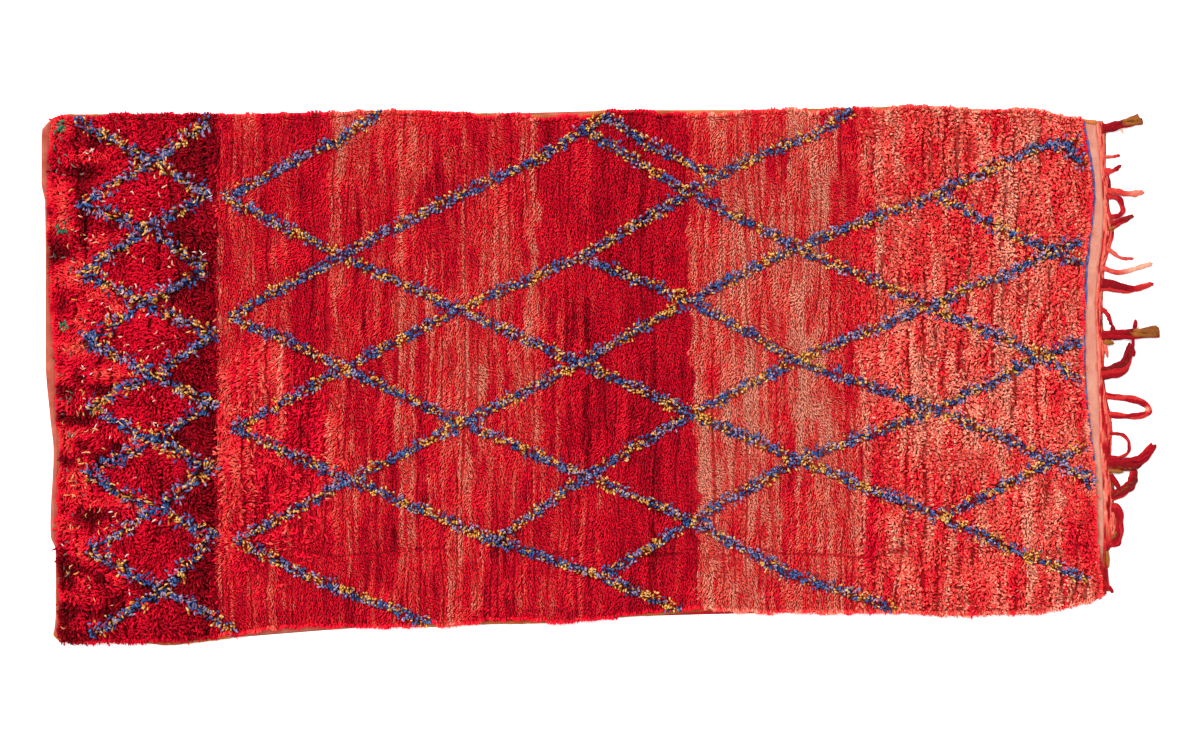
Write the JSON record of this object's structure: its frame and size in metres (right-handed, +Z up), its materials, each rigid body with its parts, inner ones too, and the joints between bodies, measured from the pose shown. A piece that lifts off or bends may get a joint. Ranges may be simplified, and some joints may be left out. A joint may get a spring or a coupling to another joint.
{
  "type": "moroccan rug",
  "caption": "Long shaggy wool rug lying flat: knotted pile over a woven ground, a rolled hem at one end, and a bare woven band with a ragged fringe at the other.",
  "frame": {"origin": "on the floor, under the middle of the rug's overall length and width, fringe included", "axes": "+X along the warp from the hemmed end to the fringed end, +Y across the rug, +Z up out of the pile"},
  "size_m": [3.2492, 1.5704, 0.0296],
  "materials": {
    "weave": "matt flat-woven wool",
    "pile": "shaggy hand-knotted wool pile",
    "fringe": "loosely twisted wool warp ends"
  },
  "bodies": {
    "root": {"ground_weave": "weave", "pile": "pile", "fringe": "fringe"}
  },
  "joints": []
}
